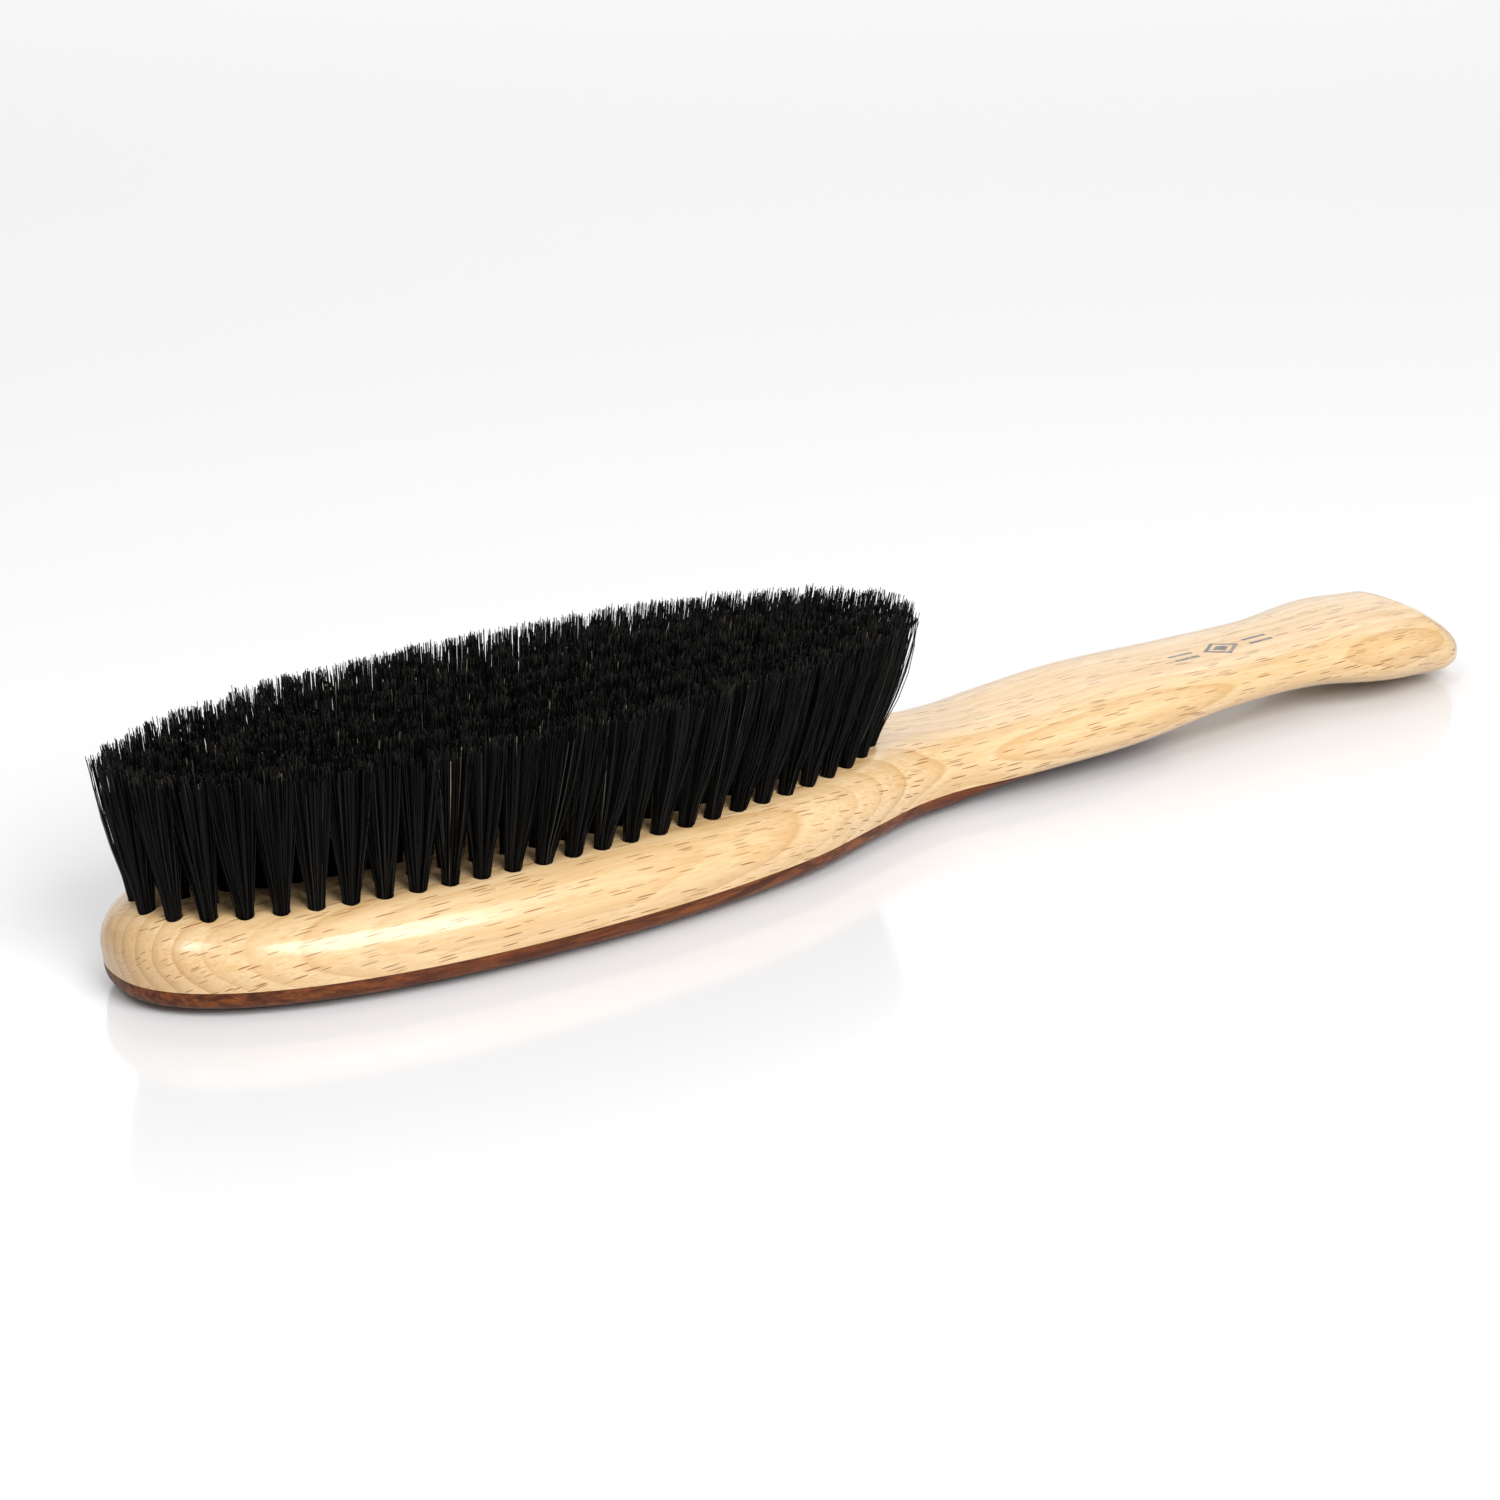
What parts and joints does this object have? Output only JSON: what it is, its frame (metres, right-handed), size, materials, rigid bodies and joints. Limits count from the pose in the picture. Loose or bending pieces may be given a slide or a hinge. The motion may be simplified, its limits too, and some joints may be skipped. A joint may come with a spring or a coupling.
{
  "type": "clothes brush",
  "caption": "Wood-backed clothes brush with an oval head of splayed dark bristle tufts and a long curved handle, lying on its back with the bristles up.",
  "frame": {"origin": "middle of the bounding rectangle, on the plane that the flat underside of the back board rests on", "axes": "+X from the free end of the head to the tip of the handle, +Y across the brush, +Z from the back board to the bristle tips"},
  "size_m": [0.291, 0.0572, 0.039],
  "materials": {
    "beech": "clear satin lacquer over steamed beech with short dark flecks",
    "dark_hardwood": "clear satin lacquer over red-brown hardwood",
    "black_bristle": "natural black bristle, trimmed flat",
    "brass_wire": "plain drawn wire, hidden under the back board"
  },
  "bodies": {
    "root": {"stock": "beech", "back_board": "dark_hardwood", "tuft_row_1_free_end": "black_bristle", "tuft_row_1_handle_end": "black_bristle", "tuft_row_2_free_end": "black_bristle", "tuft_row_2_handle_end": "black_bristle", "tuft_row_3_free_end": "black_bristle", "tuft_row_3_handle_end": "black_bristle", "tuft_row_4_free_end": "black_bristle", "tuft_row_4_handle_end": "black_bristle", "tuft_row_5_free_end": "black_bristle", "tuft_row_5_handle_end": "black_bristle", "tuft_row_6_free_end": "black_bristle", "tuft_row_6_handle_end": "black_bristle", "tuft_row_7_free_end": "black_bristle", "tuft_row_7_handle_end": "black_bristle", "draw_wire_1": "brass_wire", "draw_wire_2": "brass_wire", "draw_wire_3": "brass_wire", "draw_wire_4": "brass_wire", "draw_wire_5": "brass_wire", "draw_wire_6": "brass_wire", "draw_wire_7": "brass_wire"}
  },
  "joints": []
}
